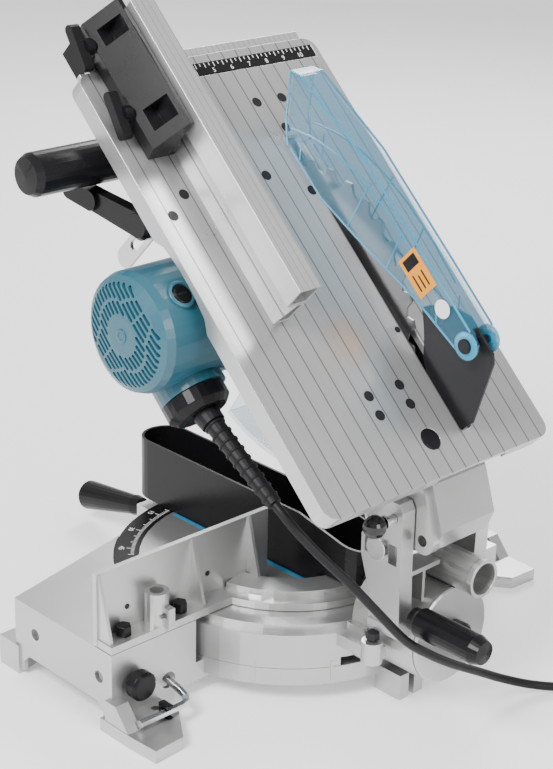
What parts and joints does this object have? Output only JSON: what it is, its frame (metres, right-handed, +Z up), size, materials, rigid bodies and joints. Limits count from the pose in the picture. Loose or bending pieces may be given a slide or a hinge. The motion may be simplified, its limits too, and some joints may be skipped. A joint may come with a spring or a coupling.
{
  "type": "mitre saw",
  "caption": "Table-top combination mitre saw: cast base, swivelling turntable, tilting bracket, chop head with motor and blade, and a small saw table with rip fence and guard on the head",
  "frame": {"origin": "turntable centre, on the floor under the feet", "axes": "X to the operator's right, +Y to the back of the saw, +Z up"},
  "size_m": [0.486, 0.6712, 0.5825],
  "materials": {
    "cast_silver": "satin silver paint on die cast aluminium",
    "table_silver": "machined, fine lines along its length",
    "steel": "bright, finely ground",
    "dark_steel": "blackened",
    "blade_grey": "dark coating, bright teeth",
    "black_plastic": "moulded, fine texture",
    "black_gloss": "polished phenolic",
    "teal_plastic": "moulded",
    "blue_board": "moulded",
    "clear_blue": "clear moulded plastic",
    "copper": "lacquered windings",
    "rubber_black": "soft moulded"
  },
  "bodies": {
    "base": {"base_casting": "cast_silver", "mitre_scale": "black_plastic", "fence": "cast_silver", "fence_bolt_1": "black_plastic", "fence_bolt_2": "black_plastic", "fence_bolt_3": "black_plastic", "fence_bolt_4": "black_plastic", "wrench_clip": "black_plastic", "power_cord": "rubber_black", "cord_coil": "rubber_black", "plug": "black_plastic"},
    "blade_box": {"blade_box": "black_plastic"},
    "thumb_knob": {"thumb_knob": "black_plastic"},
    "hex_wrench": {"hex_wrench": "steel"},
    "turntable": {"turn_base": "cast_silver", "kerf_board_right": "blue_board", "kerf_board_left": "blue_board", "bevel_stop_bolt": "dark_steel"},
    "mitre_grip": {"mitre_grip": "black_plastic"},
    "detent_lever": {"detent_lever": "black_plastic"},
    "tilt": {"tilt_bracket": "cast_silver", "drum_cover": "cast_silver", "dust_nozzle": "cast_silver", "hinge_pin": "steel", "bevel_bolt": "steel"},
    "bevel_lever": {"bevel_lever": "black_plastic"},
    "lock_pin": {"lock_pin": "steel", "lock_pin_knob": "black_gloss"},
    "head": {"head_casting": "cast_silver", "return_spring": "steel", "motor_housing": "teal_plastic", "switch_housing": "black_plastic", "cord_guard": "rubber_black", "stator": "copper", "riving_knife": "dark_steel", "handle_grip": "black_plastic", "clamp_stud": "steel"},
    "armature": {"armature": "dark_steel", "motor_fan": "black_plastic"},
    "blade": {"blade": "blade_grey", "spindle": "dark_steel", "blade_bolt": "dark_steel"},
    "lower_guard": {"lower_guard": "clear_blue"},
    "guard_bush": {"guard_bush": "black_plastic"},
    "top_guard": {"top_guard": "clear_blue"},
    "trigger": {"trigger": "black_plastic"},
    "lock_button": {"lock_button": "black_plastic"},
    "height_lever": {"height_lever": "black_plastic"},
    "table": {"table_plate": "table_silver", "hole_cap": "black_plastic", "front_rail": "table_silver", "table_scale": "black_plastic", "link_plate": "steel", "guide_rod_1": "steel", "guide_rod_2": "steel", "side_cover": "black_plastic"},
    "rip_fence": {"rip_fence_bar": "table_silver", "rip_fence_holder": "black_plastic"},
    "paddle_knob_1": {"paddle_knob_1": "black_plastic"},
    "paddle_knob_2": {"paddle_knob_2": "black_plastic"}
  },
  "joints": [
    {"name": "mitre_swivel", "type": "hinge", "parent": "base", "child": "turntable", "pos_m": [0, 0, 0.04], "axis": [0, 0, -1], "range_deg": [-52, 45]},
    {"name": "bevel_tilt", "type": "hinge", "parent": "turntable", "child": "tilt", "pos_m": [0, 0.17, 0.0726], "axis": [0, -1, 0], "range_deg": [0, 45]},
    {"name": "head_chop", "type": "hinge", "parent": "tilt", "child": "head", "pos_m": [0, 0.166, 0.161], "axis": [-1, 0, 0], "range_deg": [-43.7, 0], "stiffness_Nm_per_rad": 20, "springref_deg": 40.11, "deforming": ["power_cord"]},
    {"name": "blade_spin", "type": "hinge", "parent": "head", "child": "blade", "pos_m": [0, 0.01288, 0.31631], "axis": [1, 0, 0], "continuous": true},
    {"name": "armature_spin", "type": "hinge", "parent": "head", "child": "armature", "pos_m": [0.12, 0.02287, 0.34066], "axis": [1, 0, 0], "continuous": true},
    {"name": "lower_guard_swing", "type": "hinge", "parent": "head", "child": "lower_guard", "pos_m": [0, 0.01288, 0.31631], "axis": [-1, 0, 0], "range_deg": [-50.2, 0]},
    {"name": "table_lift", "type": "slide", "parent": "head", "child": "table", "axis": [0, 0.6909, 0.723], "range_m": [0, 0.035]},
    {"name": "guard_bush_turn", "type": "hinge", "parent": "head", "child": "guard_bush", "pos_m": [0, 0.20726, 0.33734], "axis": [-1, 0, 0], "range_deg": [0, 11.9]},
    {"name": "top_guard_swing", "type": "hinge", "parent": "guard_bush", "child": "top_guard", "pos_m": [0, 0.20726, 0.33734], "axis": [-1, 0, 0], "range_deg": [0, 55]},
    {"name": "rip_fence_slide", "type": "slide", "parent": "table", "child": "rip_fence", "axis": [1, 0, 0], "range_m": [-0.078, 0.012]},
    {"name": "paddle_knob_1_turn", "type": "hinge", "parent": "rip_fence", "child": "paddle_knob_1", "pos_m": [0.16, -0.0282, 0.49984], "axis": [1, 0, 0], "range_deg": [-12, 40]},
    {"name": "paddle_knob_2_turn", "type": "hinge", "parent": "rip_fence", "child": "paddle_knob_2", "pos_m": [0.16, -0.07556, 0.54509], "axis": [1, 0, 0], "range_deg": [-12, 40]},
    {"name": "height_lever_turn", "type": "hinge", "parent": "head", "child": "height_lever", "pos_m": [0.155, -0.01019, 0.41375], "axis": [-1, 0, 0], "range_deg": [-45, 0]},
    {"name": "trigger_press", "type": "slide", "parent": "head", "child": "trigger", "axis": [0, 0.6909, 0.723], "range_m": [0, 0.0035], "stiffness_N_per_m": 400},
    {"name": "lock_button_press", "type": "slide", "parent": "head", "child": "lock_button", "axis": [0, -0.6909, -0.723], "range_m": [0, 0.0025], "stiffness_N_per_m": 400},
    {"name": "bevel_lever_turn", "type": "hinge", "parent": "tilt", "child": "bevel_lever", "pos_m": [0, 0.2, 0.0726], "axis": [0, 1, 0], "range_deg": [-25, 0]},
    {"name": "lock_pin_slide", "type": "slide", "parent": "tilt", "child": "lock_pin", "axis": [1, 0, 0], "range_m": [-0.0095, 0]},
    {"name": "mitre_grip_turn", "type": "hinge", "parent": "turntable", "child": "mitre_grip", "pos_m": [0, -0.2165, 0.0422], "axis": [0, -0.9793, -0.2022], "range_deg": [0, 180]},
    {"name": "detent_lever_press", "type": "hinge", "parent": "turntable", "child": "detent_lever", "pos_m": [0, -0.168, 0.0375], "axis": [-1, 0, 0], "range_deg": [0, 6], "stiffness_Nm_per_rad": 1},
    {"name": "thumb_knob_turn", "type": "hinge", "parent": "base", "child": "thumb_knob", "pos_m": [0.215, 0.05, 0.041], "axis": [0, 1, 0], "range_deg": [-180, 180]},
    {"name": "hex_wrench_slide", "type": "slide", "parent": "base", "child": "hex_wrench", "axis": [0, 1, 0], "range_m": [0, 0.03]},
    {"name": "blade_box_slide", "type": "slide", "parent": "base", "child": "blade_box", "axis": [0, 1, 0], "range_m": [-0.2, 0]}
  ],
  "couplings": [
    {"joint": "armature_spin", "follows": "blade_spin", "ratio": -2.1875},
    {"joint": "lower_guard_swing", "follows": "head_chop", "ratio": 1.148},
    {"joint": "guard_bush_turn", "follows": "table_lift", "rad_per_m": 5.9}
  ]
}
